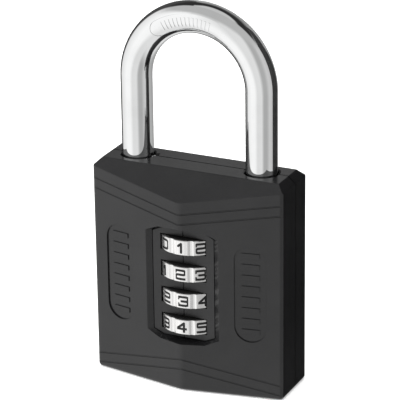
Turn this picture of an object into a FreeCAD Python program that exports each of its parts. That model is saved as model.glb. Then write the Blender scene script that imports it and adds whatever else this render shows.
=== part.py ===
# Four-dial combination padlock with a hardened steel shackle, in millimetres.
# Frame: +Z up, +X to the right of the dials, -Y towards the reader. The origin is on the base,
# midway between the shackle legs, in the plane that holds both legs and parts the two covers.
import FreeCAD, Part
import math
import os

vec = FreeCAD.Vector
up_axis = vec(0, 0, 1)
far = 200.0

# Padlock body: two moulded covers that clip round a die-cast core
body_width = 51.7
body_height = 57.1
front_side_depth = 7.9
rear_side_depth = 6.95
ridge_rise = 4.7
top_side_chamfer = 1.9
cover_wall = 1.5
cover_gap = 0.1
edge_round = 0.35
corner_round = 1.1
ridge_round = 5.0
parting_chamfer = 0.18
lip_height = 1.2
lip_wall = 0.7
lip_gap = 0.08

# Chevron grooves and thumb pads moulded into the covers
groove_radius = 0.2
first_groove_drop = 2.95
groove_step = 2.6
lowest_groove_z = 1.35
pad_width = 8.3
pad_length = 25.9
pad_side_margin = 3.85
pad_depth = 0.38
pad_bar_width = 4.6
pad_bar_height = 1.2
pad_bar_step = 2.9
pad_bar_count = 8
pad_bar_relief = 0.25

# Shackle
shackle_diameter = 8.0
shackle_side_margin = 4.95
shackle_clear_height = 33.5
toe_depth = 7.4
toe_release = 2.4
shackle_end_chamfer = 0.7
cover_hole_gap = 0.35
core_bore_gap = 0.15
heel_groove_depth = 1.0
heel_rib_width = 1.2
heel_rib_reach = 1.3
heel_rib_length = 5.5
heel_rib_drop = 0.5
heel_rib_angle = 10.0
rib_slot_gap = 0.25
arch_mark_width = 4.05
arch_mark_depth = 0.15
arch_mark_inset = 0.35
arch_mark_from = 62.0
arch_mark_to = 130.0
arch_tick_count = 13
arch_tick_width = 0.5
arch_tick_length = 2.3

# Dials
dial_count = 4
digit_count = 10
code = (1, 2, 3, 4)
dial_lead = 3.5
dial_play = (-0.3, -1.5, 2.9, -0.3)
dial_radius = 8.22
dial_height = 3.86
dial_spacing = 3.26
top_dial_drop = 18.24
dial_setback = 0.16
dial_gap = 0.28
dial_end_gap = 0.2
band_wall = 0.7
band_seat_gap = 0.02
band_edge_chamfer = 0.12
flute_radius = 1.2
flute_depth = 0.33
digit_width = 3.15
digit_height = 2.9
digit_stroke = 0.62
digit_depth = 0.14
digit_corner = 0.75
corner_steps = 3

# Window panel that frames the dials
panel_depth = 2.63
panel_thickness = 0.7
panel_flange_thickness = 0.4
panel_flange_width = 0.8
panel_gap = 0.2
panel_side_strip = 2.26
panel_end_margin = 2.0
panel_corner_run = 2.7
panel_corner_rise = 1.2
bevel_side_slope = 1.7
bevel_end_slope = 0.32
bevel_corner_slope = 0.2
collar_wall = 1.4
index_line_width = 0.3
index_line_depth = 0.2

# Spindle, clutch hubs and their gates
spindle_radius = 1.9
spindle_stud_radius = 1.2
spindle_end_z = 11.0
fin_reach = 0.9
fin_width = 1.3
fin_height = 1.0
fin_gap = 0.3
gate_gap = 0.35
hub_bore_gap = 0.2
hub_wall = 1.1
hub_web = 1.0
hub_web_base = 1.7
hub_tail_gap = 0.12
hub_flange = 0.45
hub_groove_wall = 0.7
hub_groove_height = 0.8
clutch_tooth_height = 0.7
clutch_tooth_width = 1.2
clutch_gap = 0.15
clutch_base = 0.5
clutch_top = 1.6
change_travel = 1.6
core_hub_gap = 0.2

# Lift plate that ties the spindle to the long leg
plate_thickness = 1.4
plate_lift_gap = 0.4
plate_side_gap = 0.3
plate_fork_wall = 1.2
plate_eye_wall = 1.4
plate_neck_width = 5.0
clip_thickness = 0.5
clip_radius = 2.1
clip_groove_depth = 0.3

# Change comb that draws the hubs down to set a new code
comb_thickness = 1.2
comb_width = 11.0
comb_gap = 0.25
fork_thickness = 0.6
fork_wall = 1.3
comb_foot_height = 2.0
comb_foot_gap = 0.9
comb_foot_width = 6.0
comb_foot_wall = 1.2

# Springs
lift_spring_wire = 0.5
lift_spring_radius = 1.9
lift_spring_turns = 6.0
comb_spring_wire = 0.6
comb_spring_radius = 2.4
comb_spring_turns = 5.0
spring_end_gap = 0.03
detent_thickness = 0.35
detent_arm_height = 2.6
detent_spine_width = 2.0
detent_nose_radius = 0.8
detent_engagement = 0.1
detent_offset = 0.3
detent_room_gap = 0.25

# Base plate and its screws
base_plate_thickness = 1.4
base_plate_half_depth = 5.4
screw_radius = 1.0
screw_head_radius = 1.9
screw_head_height = 0.9
screw_length = 6.0
screw_inset = 3.0

# Places worked out from the sizes above
half_width = body_width / 2
shackle_radius = shackle_diameter / 2
leg_x = half_width - shackle_side_margin - shackle_radius
arch_z = body_height + shackle_clear_height - (leg_x - shackle_radius)
lift_travel = toe_depth + toe_release
front_ridge = front_side_depth + ridge_rise
rear_ridge = rear_side_depth + ridge_rise
facet_angle = math.degrees(math.atan2(ridge_rise, half_width))
axis_y = dial_radius + dial_setback - front_ridge
dial_pitch = dial_height + dial_spacing
dial_z = [body_height - top_dial_drop - dial_pitch * i for i in range(dial_count)]
bottom_dial_z = dial_z[-1]
digit_angle = 360.0 / digit_count
slot_radius = dial_radius + dial_gap
panel_y = panel_depth - front_ridge
panel_back_y = panel_y + panel_thickness + panel_flange_thickness
window_half = math.sqrt(slot_radius ** 2 - (panel_y - axis_y) ** 2) + panel_side_strip
window_low = bottom_dial_z - dial_height / 2 - panel_end_margin
window_high = dial_z[0] + dial_height / 2 + panel_end_margin
fin_radius = spindle_radius + fin_reach
hub_bore = fin_radius + hub_bore_gap
hub_radius = hub_bore + hub_wall
tooth_radius = hub_radius + clutch_tooth_height
core_bore = tooth_radius + core_hub_gap
hub_tail = dial_height / 2 + dial_spacing - change_travel - hub_tail_gap
hub_groove_low = hub_tail - hub_flange
hub_groove_high = hub_groove_low - hub_groove_height
hub_top = dial_z[0] + hub_web_base + hub_web
plate_z = hub_top + plate_lift_gap
plate_top = plate_z + plate_thickness
chamber_floor = hub_top + plate_lift_gap / 2
chamber_top = plate_top + clip_thickness + lift_travel + plate_lift_gap
core_inset = cover_wall + cover_gap
base_plate_top = core_inset + base_plate_thickness
heel_groove_radius = shackle_radius - heel_groove_depth
fork_finger_high = -(hub_groove_low + hub_groove_high - fork_thickness) / 2
fork_finger_low = fork_finger_high - fork_thickness
comb_y = axis_y + slot_radius + comb_gap
comb_foot_top = spindle_end_z + comb_foot_height / 2
heel_end_z = comb_foot_top + comb_foot_gap
comb_foot_low = comb_foot_top - comb_foot_height
comb_foot_y = axis_y + core_bore + comb_foot_wall
comb_high = dial_z[0]
detent_nose_x = dial_radius - detent_engagement + detent_nose_radius
detent_x = detent_nose_x + detent_offset
detent_spine_y = axis_y - detent_nose_radius - 1.6


def block(x0, x1, y0, y1, z0, z1):
    return Part.makeBox(x1 - x0, y1 - y0, z1 - z0, vec(x0, y0, z0))


def rod(radius, z0, z1, x=0.0, y=0.0):
    return Part.makeCylinder(radius, z1 - z0, vec(x, y, z0))


def tube(outer, inner, z0, z1, x=0.0, y=0.0):
    return rod(outer, z0, z1, x, y).cut(rod(inner, z0, z1, x, y))


def extruded(points, along):
    corners = [vec(*p) for p in points]
    face = Part.Face(Part.makePolygon(corners + corners[:1]))
    return face.extrude(vec(*along))


def turned(shape, angle, x=0.0, y=0.0):
    copy = shape.copy()
    copy.rotate(vec(x, y, 0), up_axis, angle)
    return copy


def moved(shape, x=0.0, y=0.0, z=0.0):
    copy = shape.copy()
    copy.translate(vec(x, y, z))
    return copy


def fused(shapes):
    first = shapes[0]
    if len(shapes) == 1:
        return first
    return first.multiFuse(shapes[1:]).removeSplitter()


def side_depth(side):
    return front_side_depth if side < 0 else rear_side_depth


def facet_y(side, x, inset=0.0):
    # Height of a folded face above the parting plane, moved inwards by inset
    slope = ridge_rise / half_width
    fold = side_depth(side) + ridge_rise - slope * abs(x)
    return fold - inset * math.hypot(1.0, slope)


def body_half(side, inset=0.0, overlap=0.0):
    # Folded plan, cut by the sloping top facet and by the chamfers at the top's ends
    xs = half_width - inset
    plan = extruded([(-xs, -side * overlap, inset), (-xs, side * facet_y(side, xs, inset), inset),
                     (0, side * facet_y(side, 0, inset), inset),
                     (xs, side * facet_y(side, xs, inset), inset), (xs, -side * overlap, inset)],
                    (0, 0, body_height - 2 * inset))
    slant = inset * math.sqrt(2.0)
    top = body_height - inset
    facet_start = side_depth(side) - top_side_chamfer + inset - slant
    drop = front_ridge + rear_ridge
    profile = extruded([(-far, -side * overlap, 0), (-far, side * (facet_start + drop), 0),
                        (-far, side * (facet_start + drop), top - drop),
                        (-far, side * facet_start, top), (-far, -side * overlap, top)],
                       (2 * far, 0, 0))
    shoulder_z = top - top_side_chamfer + 2 * inset - slant
    shoulder_x = xs - top_side_chamfer + 2 * inset - slant
    front = extruded([(-xs, -far, 0), (xs, -far, 0), (xs, -far, shoulder_z),
                      (shoulder_x, -far, top), (-shoulder_x, -far, top), (-xs, -far, shoulder_z)],
                     (0, 2 * far, 0))
    return plan.common(profile).common(front)


def off_parting(edge):
    return max(abs(v.Point.y) for v in edge.Vertexes) > 1e-6


def is_upright(edge):
    a, b = edge.Vertexes[0].Point, edge.Vertexes[-1].Point
    return abs(a.x - b.x) < 1e-6 and abs(a.y - b.y) < 1e-6


def is_corner(edge):
    # The upright edges at the body's ends and all edges of the base
    at_base = all(abs(v.Z) < 1e-6 for v in edge.Vertexes)
    at_end = is_upright(edge) and abs(edge.Vertexes[0].X) > half_width - 1e-6
    return off_parting(edge) and (at_base or at_end)


def is_top_edge(edge):
    # Edges of the sloping top facet and of the chamfers at the top's ends
    low = min(v.Z for v in edge.Vertexes)
    return off_parting(edge) and low > body_height / 2 and isinstance(edge.Curve, Part.Line)


def softened_half(side):
    shell = body_half(side)
    ridge = [e for e in shell.Edges if is_upright(e) and abs(e.Vertexes[0].Point.x) < 1e-6]
    shell = shell.makeFillet(ridge_round, ridge)
    shell = shell.makeFillet(corner_round, [e for e in shell.Edges if is_corner(e)])
    return shell.makeFillet(edge_round, [e for e in shell.Edges if is_top_edge(e)])


def groove_lines(side):
    # Apex and end heights of the chevrons: two under the top facet, two above the base
    v_edge = body_height - top_side_chamfer - ridge_rise
    upper = [v_edge - first_groove_drop - groove_step * n for n in (0, 1)]
    lower = [lowest_groove_z + ridge_rise + groove_step * n for n in (0, 1)]
    return [(z, z + ridge_rise) for z in upper] + [(z, z - ridge_rise) for z in lower]


def chevron_cutters(side):
    cutters = []
    for apex_z, end_z in groove_lines(side):
        for hand in (-1, 1):
            apex = vec(0, side * facet_y(side, 0), apex_z)
            end = vec(hand * half_width, side * facet_y(side, half_width), end_z)
            run = end - apex
            start = apex - run * 0.004
            cutters.append(Part.makeCylinder(groove_radius, run.Length * 1.05, start, run))
    return cutters


def stadium(width, length, low, high):
    # Upright slot shape facing -Y, with its middle at the origin
    r = width / 2
    straight = length / 2 - r
    ends = [Part.makeCylinder(r, high - low, vec(0, -high, z), vec(0, 1, 0))
            for z in (-straight, straight)]
    return fused([block(-r, r, -high, -low, -straight, straight)] + ends)


def pad_recess():
    recess = stadium(pad_width, pad_length, -pad_depth, edge_round + pad_depth)
    middle = (pad_bar_count - 1) / 2
    bars = [block(-pad_bar_width / 2, pad_bar_width / 2, pad_depth - pad_bar_relief, pad_depth,
                  (n - middle) * pad_bar_step - pad_bar_height / 2,
                  (n - middle) * pad_bar_step + pad_bar_height / 2)
            for n in range(pad_bar_count)]
    return recess.cut(fused(bars))


def pad_cutters():
    x = half_width - pad_side_margin - pad_width / 2
    recess = pad_recess()
    middle_z = (window_low + window_high) / 2
    return [moved(turned(recess, hand * facet_angle), hand * x, -facet_y(-1, x), middle_z)
            for hand in (-1, 1)]


def window_outline(grow=0.0):
    # The dial window's outline, as x and z, a rectangle with flattened corners
    hw, lo, hi = window_half + grow, window_low - grow, window_high + grow
    run, rise = panel_corner_run, panel_corner_rise
    return [(-hw, lo + rise), (-hw + run, lo), (hw - run, lo), (hw, lo + rise),
            (hw, hi - rise), (hw - run, hi), (-hw + run, hi), (-hw, hi - rise)]


def window_prism(y0, y1, grow=0.0):
    return extruded([(x, y0, z) for x, z in window_outline(grow)], (0, y1 - y0, 0))


def window_bevel():
    # The recess flares from the panel out through the folded face
    reach = panel_depth + 0.5
    hw = window_half + bevel_side_slope * reach
    inner = window_half - panel_corner_run + bevel_corner_slope * reach
    lo, hi = window_low - bevel_end_slope * reach, window_high + bevel_end_slope * reach
    low_corner, high_corner = window_low + panel_corner_rise, window_high - panel_corner_rise
    outer = [(-hw, low_corner), (-inner, lo), (inner, lo), (hw, low_corner),
             (hw, high_corner), (inner, hi), (-inner, hi), (-hw, high_corner)]
    rings = []
    for outline, y in ((window_outline(), panel_y), (outer, panel_y - reach)):
        corners = [vec(x, y, z) for x, z in outline]
        rings.append(Part.makePolygon(corners + corners[:1]))
    return Part.makeLoft(rings, True, True)


def leg_holes(gap, z0, z1):
    radius = shackle_radius + gap
    return [rod(radius, z0, z1, -leg_x), rod(radius, z0, z1, leg_x)]


def rib_box(gap, z0, z1):
    # The rib on the long leg's inner side, or the slot that lets it through
    half = heel_rib_width / 2 + gap
    reach = shackle_radius + heel_rib_reach + gap
    rib = block(0, reach, -half, half, z0, z1)
    return moved(turned(rib, heel_rib_angle), -leg_x)


def cover_openings():
    hole_low = body_height - cover_wall - 1.0
    holes = leg_holes(cover_hole_gap, hole_low, body_height + 1.0)
    rim = shackle_radius + cover_hole_gap
    flare = [Part.makeCone(rim, rim + 0.6, 0.6, vec(x, 0, body_height - 0.3))
             for x in (-leg_x, leg_x)]
    return holes + flare + [rib_box(rib_slot_gap, hole_low, body_height + 1.0)]


def parting_edge(side):
    # A fine vee all round the covers where they meet, left off the base
    outer = body_half(side).common(block(-far, far, -parting_chamfer, parting_chamfer, 0, far))
    inner = body_half(side, parting_chamfer)
    inner = inner.common(block(-far, far, -parting_chamfer, parting_chamfer, 0, far))
    keep = block(-far, far, -far, far, 0, cover_wall)
    return outer.cut(inner).cut(keep)


def lip_ring(gap):
    # Tongue on the rear cover that locates in a rebate in the front one
    outer = body_half(-1, cover_wall - lip_wall - gap)
    inner = body_half(-1, cover_wall)
    slab = block(-far, far, -lip_height - gap, 0, 0, far)
    return outer.cut(inner).common(slab)


def front_cover():
    cover = softened_half(-1).cut(body_half(-1, cover_wall, 1.0))
    collar = window_prism(panel_y - panel_depth, panel_y + panel_thickness, collar_wall)
    cover = cover.fuse(collar.common(body_half(-1, cover_wall / 2)))
    cuts = [window_bevel(), window_prism(panel_y - panel_depth - 1.0, panel_back_y + 1.0)]
    cuts.append(window_prism(panel_y + panel_thickness, 0, panel_flange_width + 0.1))
    cuts += [lip_ring(lip_gap), parting_edge(-1)]
    cuts += chevron_cutters(-1) + pad_cutters() + cover_openings()
    return cover.cut(cuts).removeSplitter()


def rear_cover():
    cover = softened_half(1).cut(body_half(1, cover_wall, 1.0))
    cuts = [parting_edge(1)] + chevron_cutters(1) + cover_openings()
    cover = cover.cut(cuts)
    lip = lip_ring(0.0).cut(cover_openings())
    return cover.fuse(lip).removeSplitter()


def dial_slots():
    half = dial_height / 2 + dial_end_gap
    return [rod(slot_radius, z - half, z + half, 0, axis_y) for z in dial_z]


def window_panel():
    plate = window_prism(panel_y, panel_y + panel_thickness, -panel_gap)
    flange = window_prism(panel_y + panel_thickness, panel_back_y, panel_flange_width)
    line = block(-index_line_width / 2, index_line_width / 2, panel_y - 1.0,
                 panel_y + index_line_depth, window_low - 1.0, window_high + 1.0)
    return plate.fuse(flange).cut(dial_slots() + [line]).removeSplitter()


def plate_outline(grow, z0, z1):
    # Flat link from the long leg's groove to the spindle
    fork = rod(shackle_radius + plate_fork_wall + grow, z0, z1, -leg_x)
    eye = rod(spindle_stud_radius + plate_eye_wall + grow, z0, z1, 0, axis_y)
    half = plate_neck_width / 2 + grow
    length = math.hypot(leg_x, axis_y)
    angle = math.degrees(math.atan2(axis_y, leg_x))
    neck = moved(turned(block(0, length, -half, half, z0, z1), angle), -leg_x)
    return fused([fork, eye, neck])


def lift_chamber():
    # Room for the link over its whole lift, left open at the front to drop it in
    room = plate_outline(plate_side_gap, chamber_floor, chamber_top)
    reach = spindle_stud_radius + plate_eye_wall + plate_side_gap
    fork_reach = shackle_radius + plate_fork_wall + plate_side_gap
    return [room, block(-leg_x - fork_reach, reach, -far, axis_y, chamber_floor, chamber_top),
            block(-leg_x - fork_reach, -leg_x, -far, 0, chamber_floor, chamber_top)]


def comb_room():
    # Rear pocket for the comb, and the slits that its forks slide in between the dials
    gap = comb_gap
    half = comb_width / 2 + gap
    low = comb_foot_low - change_travel - gap
    rooms = [block(-half, half, comb_y - gap, far, low, comb_high + gap)]
    for z in dial_z:
        rooms.append(block(-half, half, axis_y, comb_y, z + fork_finger_low - change_travel - gap,
                           z - dial_height / 2))
    foot = comb_foot_width / 2 + gap
    rooms.append(block(-leg_x - foot, half, comb_foot_y - gap, far, low, comb_foot_top + gap))
    rooms.append(block(-leg_x - foot, -leg_x + foot, -foot, far, low, comb_foot_top + gap))
    return rooms


def detent_room():
    # Pocket at the dials' right side for the click spring, open at the front
    gap = detent_room_gap
    room = block(detent_nose_x - detent_nose_radius - gap, detent_x + detent_thickness + gap,
                 -far, axis_y + detent_nose_radius + gap,
                 bottom_dial_z - detent_arm_height / 2 - gap,
                 dial_z[0] + detent_arm_height / 2 + gap)
    return turned(room, dial_lead, 0, axis_y)


def screw_places():
    return [(-leg_x + comb_foot_width / 2 + screw_inset + 1.2, 0.0), (leg_x - screw_inset, 0.0)]


def base_plate_outline(grow, z0, z1):
    x0 = -leg_x - comb_foot_width / 2 - 1.0
    x1 = screw_places()[1][0] + screw_head_radius + 1.4
    bar = block(x0 - grow, x1 + grow, -base_plate_half_depth - grow, base_plate_half_depth + grow,
                z0, z1)
    return fused([bar, rod(core_bore + 0.9 + grow, z0, z1, 0, axis_y)])


def screws(radius_gap):
    made = []
    for x, y in screw_places():
        shank = rod(screw_radius + radius_gap, core_inset, core_inset + screw_length, x, y)
        head = Part.makeCone(screw_head_radius + radius_gap, screw_radius + radius_gap,
                             screw_head_height, vec(x, y, core_inset))
        made.append(shank.fuse(head))
    return made


def screw_threads():
    return [rod(screw_radius, core_inset, core_inset + screw_length + 0.3, x, y)
            for x, y in screw_places()]


def lock_core():
    core = body_half(-1, core_inset, 0.0).fuse(body_half(1, core_inset, 0.0)).removeSplitter()
    cuts = [window_prism(-far, panel_back_y + 0.05, panel_flange_width + 0.8)]
    cuts += dial_slots()
    cuts.append(rod(core_bore, 0, chamber_floor + 0.1, 0, axis_y))
    cuts += lift_chamber() + comb_room() + [detent_room()]
    cuts.append(rod(shackle_radius + core_bore_gap, comb_foot_top, far, -leg_x))
    toe_end = body_height - toe_depth - 0.4
    cuts.append(rod(shackle_radius + core_bore_gap, toe_end, far, leg_x))
    cuts.append(rib_box(rib_slot_gap, heel_rib_z()[0] - 0.5, far))
    cuts.append(base_plate_outline(0.1, 0, base_plate_top))
    cuts.append(rod(comb_spring_radius + comb_spring_wire, 0, comb_foot_low + 1.0, -leg_x))
    cuts += screw_threads()
    return core.cut(cuts).removeSplitter()


def base_plate():
    plate = base_plate_outline(0.0, core_inset, base_plate_top)
    return plate.cut(screws(0.05))


def base_plate_screws():
    made = []
    for screw, (x, y) in zip(screws(0.0), screw_places()):
        slot = [block(x - 1.2, x + 1.2, y - 0.25, y + 0.25, 0, core_inset + 0.45),
                block(x - 0.25, x + 0.25, y - 1.2, y + 1.2, 0, core_inset + 0.45)]
        made.append(screw.cut(slot))
    return Part.makeCompound(made)


def heel_rib_z():
    high = body_height - heel_rib_drop
    return high - heel_rib_length, high


def arch_torus(radius):
    return Part.makeTorus(leg_x, radius, vec(0, 0, arch_z), vec(0, 1, 0))


def arch_slot(inner, outer, start, end):
    # A curved slot round the arch's middle, from one angle to another, facing -Y
    centre = vec(0, -far, arch_z)
    mid = (inner + outer) / 2
    ring = Part.makeCylinder(outer, far, centre, vec(0, 1, 0), 360)
    ring = ring.cut(Part.makeCylinder(inner, far, centre, vec(0, 1, 0), 360))
    ways = [vec(math.cos(math.radians(a)), 0, math.sin(math.radians(a))) for a in (start, end)]
    steps = [start + (end - start) * n / 4 for n in range(5)]
    rim = [vec(math.cos(math.radians(a)), 0, math.sin(math.radians(a))) * (3 * outer) for a in steps]
    corners = [centre] + [centre + p for p in rim] + [centre]
    wedge = Part.Face(Part.makePolygon(corners)).extrude(vec(0, far, 0))
    ends = [Part.makeCylinder((outer - inner) / 2, far, centre + w * mid, vec(0, 1, 0))
            for w in ways]
    return fused([ring.common(wedge)] + ends)


def arch_mark():
    # Shallow stamped panel on the arch, with a row of plain raised ticks left in it
    mid = leg_x - arch_mark_inset
    half = arch_mark_width / 2
    turn = math.degrees(half / mid)
    panel = arch_slot(mid - half, mid + half, arch_mark_from + turn, arch_mark_to - turn)
    skin = arch_torus(shackle_radius + 0.5).cut(arch_torus(shackle_radius - arch_mark_depth))
    panel = panel.common(skin)
    ticks = []
    first, last = arch_mark_from + 1.7 * turn, arch_mark_to - 1.7 * turn
    for n in range(arch_tick_count):
        angle = first + (last - first) * n / (arch_tick_count - 1)
        tick = block(mid - arch_tick_length / 2, mid + arch_tick_length / 2, -far, 0,
                     -arch_tick_width / 2, arch_tick_width / 2)
        tick.rotate(vec(0, 0, 0), vec(0, 1, 0), -angle)
        ticks.append(moved(tick, 0, 0, arch_z))
    return panel.cut(ticks)


def shackle():
    bow = arch_torus(shackle_radius).common(block(-far, far, -far, far, arch_z, far))
    toe_end = body_height - toe_depth
    heel = rod(shackle_radius, heel_end_z, arch_z, -leg_x)
    toe = rod(shackle_radius, toe_end, arch_z, leg_x)
    ends = []
    for leg, z in ((heel, heel_end_z), (toe, toe_end)):
        rim = [e for e in leg.Edges if all(abs(v.Z - z) < 1e-6 for v in e.Vertexes)]
        ends.append(leg.makeChamfer(shackle_end_chamfer, rim))
    steel = fused([bow] + ends)
    steel = steel.fuse(rib_box(0.0, *heel_rib_z())).removeSplitter()
    groove = tube(shackle_radius + 1.0, heel_groove_radius, plate_z - 0.15, plate_top + 0.15,
                  -leg_x)
    return steel.cut([groove, arch_mark()])


def lift_plate():
    plate = plate_outline(0.0, plate_z, plate_top)
    throat = heel_groove_radius + 0.1
    cuts = [rod(throat, plate_z, plate_top, -leg_x),
            block(-leg_x - throat, -leg_x + throat, 0, far, plate_z, plate_top),
            rod(spindle_stud_radius + 0.02, plate_z, plate_top, 0, axis_y)]
    return plate.cut(cuts)


def fin_box(gap, low, high):
    # Faces the right-hand side, so that the gates line up there when the code is set
    half = fin_width / 2 + gap
    return moved(turned(block(0, fin_radius + gap, -half, half, low, high), dial_lead), 0, axis_y)


def spindle():
    pieces = [rod(spindle_radius, spindle_end_z, plate_z, 0, axis_y)]
    stud_top = plate_top + clip_thickness + 0.2
    pieces.append(rod(spindle_stud_radius, plate_z, stud_top, 0, axis_y))
    for z in dial_z:
        high = z + hub_web_base - fin_gap
        pieces.append(fin_box(0.0, high - fin_height, high))
    groove = tube(clip_radius, spindle_stud_radius - clip_groove_depth, plate_top,
                  plate_top + clip_thickness, 0, axis_y)
    return fused(pieces).cut(groove)


def spindle_clip():
    inner = spindle_stud_radius - clip_groove_depth + 0.02
    clip = tube(clip_radius, inner, plate_top + 0.02, plate_top + clip_thickness - 0.02, 0, axis_y)
    mouth = block(-inner, inner, axis_y, axis_y + far, plate_top, plate_top + clip_thickness)
    return clip.cut(mouth)


def toothed(z0, z1, gap):
    # Ten radial clutch teeth; the same shape with a gap cuts their seats in a dial wheel
    half = clutch_tooth_width / 2 + gap
    tooth = block(hub_bore + hub_wall / 2, tooth_radius + gap, -half, half, z0, z1)
    return [turned(tooth, digit_angle * n) for n in range(digit_count)]


def clutch_hub():
    # Modelled with its dial at height 0 and its axis on Z
    body = tube(hub_radius, hub_bore, -hub_tail, hub_web_base + hub_web)
    web = tube(hub_bore + 0.1, spindle_radius + hub_bore_gap, hub_web_base, hub_web_base + hub_web)
    collar = tube(tooth_radius - clutch_gap, hub_bore, -hub_tail, -hub_groove_high + 0.5)
    hub = fused([body, web, collar] + toothed(clutch_base, clutch_top, 0.0))
    groove = tube(tooth_radius + 1.0, hub_bore + hub_groove_wall, -hub_groove_low,
                  -hub_groove_high)
    half = fin_width / 2 + gate_gap
    gate = block(0, hub_bore, -half, half, hub_web_base - 0.1, hub_web_base + hub_web + 0.1)
    return hub.cut([groove, gate])


def dial_wheel():
    # Moulded wheel under the number band; only its upper half carries the clutch seats
    half = dial_height / 2
    wheel = tube(dial_radius - band_wall - band_seat_gap, hub_radius + clutch_gap, -half, half)
    relief = rod(tooth_radius + clutch_gap, -half, clutch_base - 0.1)
    seats = toothed(clutch_base - 0.2, half, clutch_gap)
    return wheel.cut([relief] + seats)


def arc_points(corner, before, after, radius):
    # Rounds one corner of a stroke path with a few points on an arc
    into = (corner - before).normalize()
    out = (after - corner).normalize()
    cut = min(radius, corner.distanceToPoint(before) / 2, corner.distanceToPoint(after) / 2)
    start, end = corner - into * cut, corner + out * cut
    points = []
    for n in range(corner_steps + 1):
        t = n / corner_steps
        points.append(start * (1 - t) ** 2 + corner * (2 * t * (1 - t)) + end * t ** 2)
    return points


def rounded_path(points, radius):
    path = [points[0]]
    for before, corner, after in zip(points, points[1:], points[2:]):
        path += arc_points(corner, before, after, radius)
    return path + [points[-1]]


def stroke_solid(points, depth, height):
    # Prisms along a path in the XZ plane, with round joints, from y = -depth out to -height
    r = digit_stroke / 2
    solids = []
    for a, b in zip(points, points[1:]):
        length = a.distanceToPoint(b)
        if length < 1e-6:
            continue
        angle = math.degrees(math.atan2(b.z - a.z, b.x - a.x))
        bar = block(0, length, -height, -depth, -r, r)
        bar.rotate(vec(0, 0, 0), vec(0, 1, 0), -angle)
        solids.append(moved(bar, a.x, 0, a.z))
    for p in points:
        solids.append(Part.makeCylinder(r, height - depth, vec(p.x, -height, p.z), vec(0, 1, 0)))
    return solids


# Stroke paths of the numerals, in halves of the digit's width and height
numeral_strokes = {
    0: [[(0, 1), (1, 1), (1, -1), (-1, -1), (-1, 1), (0, 1)]],
    1: [[(-0.5, 0.45), (0.1, 1), (0.1, -1)]],
    2: [[(-1, 0.6), (-1, 1), (1, 1), (1, 0), (-1, 0), (-1, -1), (1, -1)]],
    3: [[(-1, 0.6), (-1, 1), (1, 1), (1, 0), (0.2, 0)],
        [(-0.3, 0), (1, 0), (1, -1), (-1, -1), (-1, -0.6)]],
    4: [[(0.45, -1), (0.45, 1), (-1, -0.35), (1, -0.35)]],
    5: [[(1, 1), (-1, 1), (-1, 0.15), (1, 0.15), (1, -1), (-1, -1)]],
    6: [[(0.9, 1), (-1, 1), (-1, -1), (1, -1), (1, 0.1), (-0.8, 0.1)]],
    7: [[(-1, 1), (1, 1), (-0.2, -1)]],
    8: [[(0, 1), (1, 1), (1, -1), (-1, -1), (-1, 1), (0, 1)], [(-0.9, 0), (0.9, 0)]],
    9: [[(-0.9, -1), (1, -1), (1, 1), (-1, 1), (-1, 0), (0.8, 0)]],
}
sharp_numerals = (1, 4, 7)


def numeral(digit):
    half_w = (digit_width - digit_stroke) / 2
    half_h = (digit_height - digit_stroke) / 2
    radius = 0.0 if digit in sharp_numerals else digit_corner
    solids = []
    for path in numeral_strokes[digit]:
        points = [vec(x * half_w, 0, z * half_h) for x, z in path]
        if radius:
            points = rounded_path(points, radius)
        solids += stroke_solid(points, dial_radius - digit_depth, dial_radius + 1.0)
    return fused(solids)


def number_band():
    # Fluted metal band with the numerals sunk into it; digit 0 faces -Y
    half = dial_height / 2
    outer = rod(dial_radius, -half, half)
    outer = outer.makeChamfer(band_edge_chamfer, [e for e in outer.Edges if e.Closed])
    band = outer.cut(rod(dial_radius - band_wall, -half, half))
    flute_at = dial_radius - flute_depth + flute_radius
    cuts = []
    for n in range(digit_count):
        flute = rod(flute_radius, -half - 1, half + 1, 0, -flute_at)
        cuts.append(turned(flute, digit_angle * (n + 0.5)))
        cuts.append(turned(numeral(n), digit_angle * n))
    return band.cut(cuts)


def change_comb():
    # Rear strip with a fork for each hub, and a foot that reaches under the long leg
    half = comb_width / 2
    back = comb_y + comb_thickness
    pieces = [block(-half, half, comb_y, back, comb_foot_low, comb_high)]
    throat = hub_bore + hub_groove_wall + 0.1
    cuts = []
    for z in dial_z:
        low, high = z + fork_finger_low, z + fork_finger_high
        arm = throat + fork_wall
        pieces.append(block(-arm, arm, axis_y, comb_y, low, high))
        cuts += [rod(throat, low, high, 0, axis_y),
                 block(-throat, throat, -far, axis_y, low, high)]
    foot = comb_foot_width / 2
    arm_back = comb_foot_y + comb_thickness
    pieces.append(block(-half, half, comb_foot_y, back, comb_foot_low, comb_foot_top))
    pieces.append(block(-leg_x - foot, half, comb_foot_y, arm_back, comb_foot_low, comb_foot_top))
    pieces.append(block(-leg_x - foot, -leg_x + foot, -foot, arm_back,
                        comb_foot_top - comb_thickness, comb_foot_top))
    return fused(pieces).cut(cuts)


def coil(radius, wire, turns, z0, z1, x, y):
    # Open coil of round wire between two heights
    rise = z1 - z0 - wire
    path = Part.makeHelix(rise / turns, rise, radius)
    profile = Part.Wire(Part.makeCircle(wire / 2, vec(radius, 0, 0), vec(0, 1, 0)))
    spring = Part.Wire(path).makePipeShell([profile], True, True)
    return moved(spring, x, y, z0 + wire / 2)


def lift_spring():
    return coil(lift_spring_radius, lift_spring_wire, lift_spring_turns,
                base_plate_top + spring_end_gap, spindle_end_z - spring_end_gap, 0, axis_y)


def comb_spring():
    return coil(comb_spring_radius, comb_spring_wire, comb_spring_turns,
                base_plate_top + spring_end_gap, comb_foot_top - comb_thickness - spring_end_gap,
                -leg_x, 0)


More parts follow.
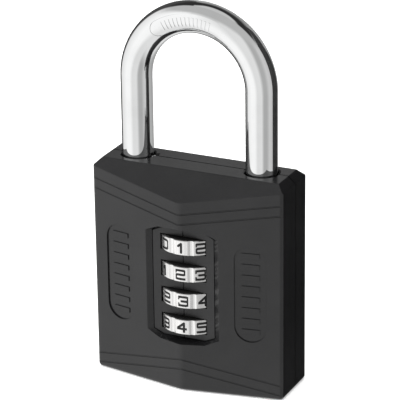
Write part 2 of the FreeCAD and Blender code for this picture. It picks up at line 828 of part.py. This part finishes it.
def detent_spring():
    # One stamped strip with a finger and a rounded nose for each dial, in the dials' flutes
    x, back = detent_x, detent_x + detent_thickness
    low = bottom_dial_z - detent_arm_height / 2
    high = dial_z[0] + detent_arm_height / 2
    pieces = [block(x, back, detent_spine_y - detent_spine_width, detent_spine_y, low, high)]
    for z in dial_z:
        z0, z1 = z - detent_arm_height / 2, z + detent_arm_height / 2
        pieces.append(block(x, back, detent_spine_y - 0.2, axis_y, z0, z1))
        nose = tube(detent_nose_radius, detent_nose_radius - detent_thickness, z0, z1,
                    detent_nose_x, axis_y)
        pieces.append(nose.cut(block(back, far, -far, far, z0, z1)))
    return turned(fused(pieces), dial_lead, 0, axis_y)


def sub_parts():
    parts = {
        "front_cover": front_cover(),
        "rear_cover": rear_cover(),
        "window_panel": window_panel(),
        "lock_core": lock_core(),
        "base_plate": base_plate(),
        "base_plate_screws": base_plate_screws(),
        "shackle": shackle(),
        "lift_plate": lift_plate(),
        "spindle": spindle(),
        "spindle_clip": spindle_clip(),
        "lift_spring": lift_spring(),
        "change_comb": change_comb(),
        "change_comb_spring": comb_spring(),
        "detent_spring": detent_spring(),
    }
    band, wheel, hub = number_band(), dial_wheel(), clutch_hub()
    for n, (z, digit, play) in enumerate(zip(dial_z, code, dial_play), 1):
        lead = dial_lead + play
        parts[f"number_band_{n}"] = moved(turned(band, lead - digit_angle * digit), 0, axis_y, z)
        parts[f"dial_wheel_{n}"] = moved(turned(wheel, lead), 0, axis_y, z)
        parts[f"clutch_hub_{n}"] = moved(turned(hub, lead), 0, axis_y, z)
    return parts


def main():
    os.makedirs("parts", exist_ok=True)
    for name, shape in sub_parts().items():
        solids = shape.Solids
        sound = shape.isValid() and all(s.isValid() and s.Volume > 0 for s in solids)
        print(f"{name}: {len(solids)} solid, {shape.Volume:.1f} mm3, sound {sound}")
        shape.exportStep(f"parts/{name}.step")


main()
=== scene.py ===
# Dial padlock: finishes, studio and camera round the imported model, in metres.
import math
import bpy
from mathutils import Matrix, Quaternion, Vector


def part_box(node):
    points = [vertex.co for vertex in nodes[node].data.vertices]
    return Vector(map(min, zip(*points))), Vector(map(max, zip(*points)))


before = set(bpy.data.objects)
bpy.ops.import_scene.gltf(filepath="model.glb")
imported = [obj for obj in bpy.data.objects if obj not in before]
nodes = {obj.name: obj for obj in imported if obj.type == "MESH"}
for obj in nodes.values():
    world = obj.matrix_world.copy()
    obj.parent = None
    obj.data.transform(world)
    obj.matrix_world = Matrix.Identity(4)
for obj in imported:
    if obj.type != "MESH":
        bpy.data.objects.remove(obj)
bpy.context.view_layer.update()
print("frame loaded:", len(nodes), "nodes")


def newMaterial(name):
    material = bpy.data.materials.new(name)
    material.use_nodes = True
    tree = material.node_tree
    shader = tree.nodes["Principled BSDF"]
    return material, tree, shader


def addNode(tree, kind, **inputs):
    node = tree.nodes.new(kind)
    for socket, value in inputs.items():
        key = int(socket[1:]) if socket[0] == "i" and socket[1:].isdigit() else socket
        if isinstance(value, bpy.types.NodeSocket):
            tree.links.new(value, node.inputs[key])
        else:
            node.inputs[key].default_value = value
    return node


def mathNode(tree, operation, a, b=None, c=None):
    node = tree.nodes.new("ShaderNodeMath")
    node.operation = operation
    for socket, value in zip(node.inputs, (a, b, c)):
        if isinstance(value, bpy.types.NodeSocket):
            tree.links.new(value, socket)
        elif value is not None:
            socket.default_value = value
    return node.outputs[0]


def smoothStep(tree, value, low, high, outLow=0.0, outHigh=1.0):
    node = addNode(tree, "ShaderNodeMapRange", Value=value)
    node.interpolation_type = "SMOOTHSTEP"
    limits = {"From Min": low, "From Max": high, "To Min": outLow, "To Max": outHigh}
    for socket, number in limits.items():
        node.inputs[socket].default_value = number
    return node.outputs["Result"]


def mixColors(tree, factor, a, b):
    node = tree.nodes.new("ShaderNodeMix")
    node.data_type = "RGBA"
    for socket, value in ((node.inputs[0], factor), (node.inputs[6], a), (node.inputs[7], b)):
        if isinstance(value, bpy.types.NodeSocket):
            tree.links.new(value, socket)
        else:
            socket.default_value = value
    return node.outputs[2]


def objectPoint(tree, scale=(1, 1, 1)):
    coords = tree.nodes.new("ShaderNodeTexCoord").outputs["Object"]
    return addNode(tree, "ShaderNodeMapping", Vector=coords, Scale=scale).outputs[0]


def noise(tree, point, scale, detail=3.0, roughness=0.5):
    return addNode(tree, "ShaderNodeTexNoise", Vector=point, Scale=scale, Detail=detail,
                   Roughness=roughness).outputs["Fac"]


def bump(tree, height, strength, distance):
    node = addNode(tree, "ShaderNodeBump", Height=height, Strength=strength, Distance=distance)
    return node.outputs[0]


def blend(tree, factor, a, b):
    rest = mathNode(tree, "SUBTRACT", 1.0, factor)
    return mathNode(tree, "ADD", mathNode(tree, "MULTIPLY", factor, b),
                    mathNode(tree, "MULTIPLY", rest, a))


def rgb(r, g, b):
    return (r, g, b, 1.0)


coverPlastic = {
    "black": rgb(0.006, 0.006, 0.0064), "worn": rgb(0.009, 0.009, 0.0094),
    "roughness": (0.22, 0.27), "grainScale": 3400.0, "grainDepth": 0.000003,
    "flowScale": 60.0, "specular": 0.54,
}


def plasticFinish(name, look):
    material, tree, shader = newMaterial(name)
    point = objectPoint(tree)
    cloud = noise(tree, point, look["flowScale"], 4.0, 0.6)
    grain = noise(tree, point, look["grainScale"], 2.0, 0.55)
    speckle = noise(tree, point, look["grainScale"] * 0.28, 3.0, 0.6)
    wear = smoothStep(tree, cloud, 0.35, 0.7)
    tint = mixColors(tree, wear, look["black"], look["worn"])
    tree.links.new(tint, shader.inputs["Base Color"])
    low, high = look["roughness"]
    rough = smoothStep(tree, speckle, 0.3, 0.72, low, high)
    tree.links.new(rough, shader.inputs["Roughness"])
    normal = bump(tree, grain, 0.35, look["grainDepth"])
    tree.links.new(normal, shader.inputs["Normal"])
    shader.inputs["Specular IOR Level"].default_value = look["specular"]
    return material


shackleChrome = {
    "bright": rgb(0.835, 0.84, 0.84), "dull": rgb(0.785, 0.79, 0.79),
    "roughness": (0.02, 0.05), "hazeScale": 90.0, "lineScale": 900.0, "lineDepth": 0.0000015,
}


def chromeFinish(name, look):
    material, tree, shader = newMaterial(name)
    shader.inputs["Metallic"].default_value = 1.0
    haze = noise(tree, objectPoint(tree), look["hazeScale"], 5.0, 0.6)
    lines = noise(tree, objectPoint(tree, (1, 1, 0.05)), look["lineScale"], 2.0, 0.5)
    tree.links.new(mixColors(tree, smoothStep(tree, haze, 0.4, 0.8), look["bright"], look["dull"]),
                   shader.inputs["Base Color"])
    low, high = look["roughness"]
    tree.links.new(smoothStep(tree, haze, 0.35, 0.75, low, high), shader.inputs["Roughness"])
    tree.links.new(bump(tree, lines, 0.25, look["lineDepth"]), shader.inputs["Normal"])
    return material


numberBand = {
    "silver": rgb(0.93, 0.925, 0.915), "shade": rgb(0.82, 0.81, 0.8),
    "ink": rgb(0.004, 0.004, 0.004),
    "roughness": (0.2, 0.34), "inkRoughness": 0.45, "brushScale": 2200.0, "brushDepth": 0.000006,
    "radius": 0.00822, "sunk": 0.00003, "axisY": -0.00422, "digitStep": math.radians(36),
    "digitHalfAngle": math.radians(11.9), "digitHalfHeight": 0.00149,
    # degrees each dial is stored past its digit's middle
    "restTurns": (3.2, 2.0, 6.4, 3.2),
}


def bandFinish(name, look, height, restTurn):
    # Satin silver, with the numerals' sunk floors filled in black
    material, tree, shader = newMaterial(name)
    point = objectPoint(tree)
    offset = addNode(tree, "ShaderNodeMapping", Vector=point,
                     Location=(0, -look["axisY"], -height)).outputs[0]
    split = addNode(tree, "ShaderNodeSeparateXYZ", i0=offset)
    x, y, z = split.outputs
    square = mathNode(tree, "ADD", mathNode(tree, "MULTIPLY", x, x), mathNode(tree, "MULTIPLY", y, y))
    radius = mathNode(tree, "SQRT", square)
    angle = mathNode(tree, "ARCTAN2", x, mathNode(tree, "MULTIPLY", y, -1.0))
    turnStep = look["digitStep"]
    fromDigit = mathNode(tree, "SUBTRACT", angle, math.radians(restTurn))
    wrapped = mathNode(tree, "WRAP", fromDigit, turnStep / 2, -turnStep / 2)
    offCentre = mathNode(tree, "ABSOLUTE", wrapped)
    nearDigit = mathNode(tree, "LESS_THAN", offCentre, look["digitHalfAngle"])
    sunk = mathNode(tree, "LESS_THAN", radius, look["radius"] - look["sunk"])
    level = mathNode(tree, "LESS_THAN", mathNode(tree, "ABSOLUTE", z), look["digitHalfHeight"])
    ink = mathNode(tree, "MULTIPLY", mathNode(tree, "MULTIPLY", nearDigit, sunk), level)
    brush = noise(tree, objectPoint(tree, (1, 1, 0.06)), look["brushScale"], 3.0, 0.6)
    tint = mixColors(tree, smoothStep(tree, brush, 0.3, 0.75), look["silver"], look["shade"])
    tree.links.new(mixColors(tree, ink, tint, look["ink"]), shader.inputs["Base Color"])
    bare = mathNode(tree, "SUBTRACT", 1.0, ink)
    tree.links.new(bare, shader.inputs["Metallic"])
    low, high = look["roughness"]
    rough = smoothStep(tree, brush, 0.3, 0.8, low, high)
    mixRough = mathNode(tree, "ADD", mathNode(tree, "MULTIPLY", rough, bare),
                        mathNode(tree, "MULTIPLY", ink, look["inkRoughness"]))
    tree.links.new(mixRough, shader.inputs["Roughness"])
    tree.links.new(bump(tree, brush, 0.3, look["brushDepth"]), shader.inputs["Normal"])
    return material


innerMetals = {
    "castZinc": {
        "light": rgb(0.5, 0.51, 0.52), "dark": rgb(0.36, 0.365, 0.37), "roughness": (0.42, 0.6),
        "stretch": (1, 1, 1), "scale": 420.0, "depth": 0.00003},
    "platedSteel": {
        "light": rgb(0.6, 0.6, 0.57), "dark": rgb(0.47, 0.47, 0.42), "roughness": (0.25, 0.4),
        "stretch": (0.15, 1, 1), "scale": 900.0, "depth": 0.00001},
    "turnedSteel": {
        "light": rgb(0.56, 0.56, 0.57), "dark": rgb(0.44, 0.44, 0.45), "roughness": (0.2, 0.32),
        "stretch": (0.2, 0.2, 4), "scale": 700.0, "depth": 0.000008},
    "springWire": {
        "light": rgb(0.46, 0.46, 0.47), "dark": rgb(0.3, 0.3, 0.31), "roughness": (0.22, 0.38),
        "stretch": (1, 1, 1), "scale": 1500.0, "depth": 0.000005},
    "hubBrass": {
        "light": rgb(0.78, 0.6, 0.3), "dark": rgb(0.6, 0.42, 0.17), "roughness": (0.24, 0.38),
        "stretch": (0.3, 0.3, 3), "scale": 800.0, "depth": 0.000008},
}


def metalFinish(name, look):
    material, tree, shader = newMaterial(name)
    shader.inputs["Metallic"].default_value = 1.0
    marks = noise(tree, objectPoint(tree, look["stretch"]), look["scale"], 4.0, 0.6)
    cloud = noise(tree, objectPoint(tree), look["scale"] * 0.12, 3.0, 0.5)
    average = mathNode(tree, "MULTIPLY", mathNode(tree, "ADD", marks, cloud), 0.5)
    share = smoothStep(tree, average, 0.35, 0.65)
    tint = mixColors(tree, share, look["light"], look["dark"])
    tree.links.new(tint, shader.inputs["Base Color"])
    low, high = look["roughness"]
    tree.links.new(smoothStep(tree, marks, 0.3, 0.75, low, high), shader.inputs["Roughness"])
    tree.links.new(bump(tree, marks, 0.4, look["depth"]), shader.inputs["Normal"])
    return material


def dress(material, *names):
    for name in names:
        mesh = nodes[name].data
        mesh.materials.clear()
        mesh.materials.append(material)


panelPlastic = dict(coverPlastic, roughness=(0.3, 0.42), grainScale=3200.0)
wheelPlastic = dict(coverPlastic, black=rgb(0.008, 0.008, 0.008), worn=rgb(0.013, 0.013, 0.013),
                    roughness=(0.42, 0.55), specular=0.4)

dress(plasticFinish("coverPlastic", coverPlastic), "front_cover", "rear_cover")
dress(plasticFinish("panelPlastic", panelPlastic), "window_panel")
dress(plasticFinish("wheelPlastic", wheelPlastic), *[f"dial_wheel_{n}" for n in range(1, 5)])
dress(chromeFinish("shackleChrome", shackleChrome), "shackle")
for n in range(1, 5):
    low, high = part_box(f"number_band_{n}")
    turn = numberBand["restTurns"][n - 1]
    dress(bandFinish(f"numberBand{n}", numberBand, (low.z + high.z) / 2, turn), f"number_band_{n}")
dress(metalFinish("castZinc", innerMetals["castZinc"]), "lock_core")
dress(metalFinish("platedSteel", innerMetals["platedSteel"]),
      "base_plate", "base_plate_screws", "lift_plate", "change_comb")
dress(metalFinish("turnedSteel", innerMetals["turnedSteel"]), "spindle")
dress(metalFinish("springWire", innerMetals["springWire"]),
      "spindle_clip", "lift_spring", "change_comb_spring", "detent_spring")
dress(metalFinish("hubBrass", innerMetals["hubBrass"]), *[f"clutch_hub_{n}" for n in range(1, 5)])
print("finishes set")


studio = {
    "floorSize": 3.0, "floorTint": rgb(0.93, 0.93, 0.93), "floorPale": rgb(0.95, 0.95, 0.95),
    "floorGlow": 0.35, "floorDrop": 0.0001,
    # what reflections see round the padlock: degrees from the front towards the right, brightness
    "ring": ((-180, 0.45), (-165, 0.48), (-154, 0.56), (-149, 0.1), (-112, 0.08), (-103, 1.1), (-50, 1.4),
             (-24, 1.38), (-5, 1.06), (24, 1.08), (40, 0.6), (60, 0.6), (80, 0.85), (180, 0.45)),
    "backDark": (44, 62), "overhead": 0.8, "frontHigh": 0.68, "floorBounce": 1.1,
    # elevations and bearings, in degrees, where one zone fades into the next
    "ringTop": 28.0, "sideFade": (95, 110), "floorFade": (-35.0, -60.0), "backLevel": 0.04,
    "paleRoom": rgb(1.0, 1.0, 1.0), "roomLevel": 1.0,
}


def buildFloor(look):
    place = (0, 0, -look["floorDrop"])
    bpy.ops.mesh.primitive_plane_add(size=look["floorSize"], location=place)
    floor = bpy.context.object
    floor.name = "studioFloor"
    material, tree, shader = newMaterial("floorPaper")
    paper = noise(tree, objectPoint(tree), 40.0, 4.0, 0.5)
    tint = mixColors(tree, paper, look["floorTint"], look["floorPale"])
    tree.links.new(tint, shader.inputs["Base Color"])
    shader.inputs["Roughness"].default_value = 0.9
    shader.inputs["Specular IOR Level"].default_value = 0.1
    shader.inputs["Emission Color"].default_value = rgb(1, 1, 1)
    shader.inputs["Emission Strength"].default_value = look["floorGlow"]
    floor.data.materials.append(material)
    floor.visible_glossy = False


def buildRoom(look):
    world = bpy.data.worlds.new("studioRoom")
    bpy.context.scene.world = world
    world.use_nodes = True
    tree = world.node_tree
    tree.nodes.clear()
    way = tree.nodes.new("ShaderNodeTexCoord").outputs["Generated"]
    x, y, z = addNode(tree, "ShaderNodeSeparateXYZ", i0=way).outputs
    bearing = mathNode(tree, "ARCTAN2", x, mathNode(tree, "MULTIPLY", y, -1.0))
    share = mathNode(tree, "MULTIPLY_ADD", bearing, 1 / (2 * math.pi), 0.5)
    ramp = addNode(tree, "ShaderNodeValToRGB", Fac=share)
    stops = ramp.color_ramp.elements
    top = max(level for _, level in look["ring"])
    for index, (degrees, level) in enumerate(look["ring"]):
        place = degrees / 360 + 0.5
        if index == 0:
            stop = stops[0]
        elif index == len(look["ring"]) - 1:
            stop = stops[-1]
        else:
            stop = stops.new(place)
        stop.position = place
        stop.color = rgb(*[level / top] * 3)
    ring = mathNode(tree, "MULTIPLY", ramp.outputs["Color"], top)
    elevation = mathNode(tree, "MULTIPLY", mathNode(tree, "ARCSINE", z), 180 / math.pi)
    aside = mathNode(tree, "ABSOLUTE", bearing)
    behind = smoothStep(tree, aside, *[math.radians(degrees) for degrees in look["sideFade"]])
    low, high = look["backDark"]
    highUp = smoothStep(tree, elevation, look["ringTop"], low + 2.0)
    overhead = smoothStep(tree, elevation, high, high + 7.0)
    dark = look["backLevel"]
    backLevel = mathNode(tree, "MULTIPLY_ADD", overhead, look["overhead"] - dark, dark)
    upper = blend(tree, behind, look["frontHigh"], backLevel)
    level = blend(tree, highUp, ring, upper)
    under = smoothStep(tree, elevation, *look["floorFade"])
    level = blend(tree, under, level, look["floorBounce"])
    reflected = addNode(tree, "ShaderNodeBackground", Strength=level)
    plain = addNode(tree, "ShaderNodeBackground", Color=look["paleRoom"], Strength=look["roomLevel"])
    seen = tree.nodes.new("ShaderNodeLightPath").outputs["Is Camera Ray"]
    mix = addNode(tree, "ShaderNodeMixShader", i0=seen, i1=reflected.outputs[0], i2=plain.outputs[0])
    output = tree.nodes.new("ShaderNodeOutputWorld")
    tree.links.new(mix.outputs[0], output.inputs["Surface"])


# A black card close behind the right-hand side gives the chrome its dark edge
blackCard = {"left": (0.0264, 0.026), "right": (0.062, 0.0098), "low": -0.03, "high": 0.12}


def buildCard(look):
    corners = [(*look[side], look[level]) for side, level in
               (("left", "low"), ("right", "low"), ("right", "high"), ("left", "high"))]
    mesh = bpy.data.meshes.new("blackCard")
    mesh.from_pydata(corners, [], [(0, 1, 2, 3)])
    material, tree, shader = newMaterial("cardPaper")
    shader.inputs["Base Color"].default_value = rgb(0.03, 0.03, 0.03)
    shader.inputs["Roughness"].default_value = 1.0
    shader.inputs["Specular IOR Level"].default_value = 0.0
    mesh.materials.append(material)
    card = bpy.data.objects.new("blackCard", mesh)
    bpy.context.collection.objects.link(card)
    card.visible_camera = False
    card.visible_diffuse = False
    card.visible_shadow = False


softLights = {
    "overheadSoftbox": {"place": (0.0, -0.1, 0.9), "size": 0.9, "power": 9.0},
    "leftSoftbox": {"place": (-0.7, -0.5, 0.6), "size": 0.7, "power": 5.0},
}


def buildLights(looks):
    for name, look in looks.items():
        light = bpy.data.lights.new(name, "AREA")
        light.shape = "SQUARE"
        light.size = look["size"]
        light.energy = look["power"]
        lamp = bpy.data.objects.new(name, light)
        lamp.location = look["place"]
        towards = Vector((0, 0, 0.05)) - lamp.location
        lamp.rotation_euler = towards.to_track_quat("-Z", "Y").to_euler()
        lamp.visible_glossy = False
        bpy.context.collection.objects.link(lamp)


viewPoint = {
    "azimuth": 25.487, "elevation": 22.153, "roll": -0.752,
    "distance": 0.6042, "aim": (0, 0, 0.03886),
    "lens": 217.3, "shift": (-0.0008, 0.0762),
}


def buildCamera(look):
    camera = bpy.data.objects.new("viewCamera", bpy.data.cameras.new("viewCamera"))
    bpy.context.collection.objects.link(camera)
    azimuth, elevation = math.radians(look["azimuth"]), math.radians(look["elevation"])
    level = math.cos(elevation)
    back = Vector((math.sin(azimuth) * level, -math.cos(azimuth) * level, math.sin(elevation)))
    camera.location = Vector(look["aim"]) + back * look["distance"]
    turn = (-back).to_track_quat("-Z", "Y")
    camera.rotation_mode = "QUATERNION"
    camera.rotation_quaternion = Quaternion(back, math.radians(look["roll"])) @ turn
    camera.data.lens = look["lens"]
    camera.data.sensor_width = 36
    camera.data.shift_x, camera.data.shift_y = look["shift"]
    camera.data.clip_start = 0.01
    bpy.context.scene.camera = camera


buildFloor(studio)
buildRoom(studio)
buildCard(blackCard)
buildLights(softLights)
buildCamera(viewPoint)
bpy.context.scene.view_settings.view_transform = "Standard"
print("studio built")
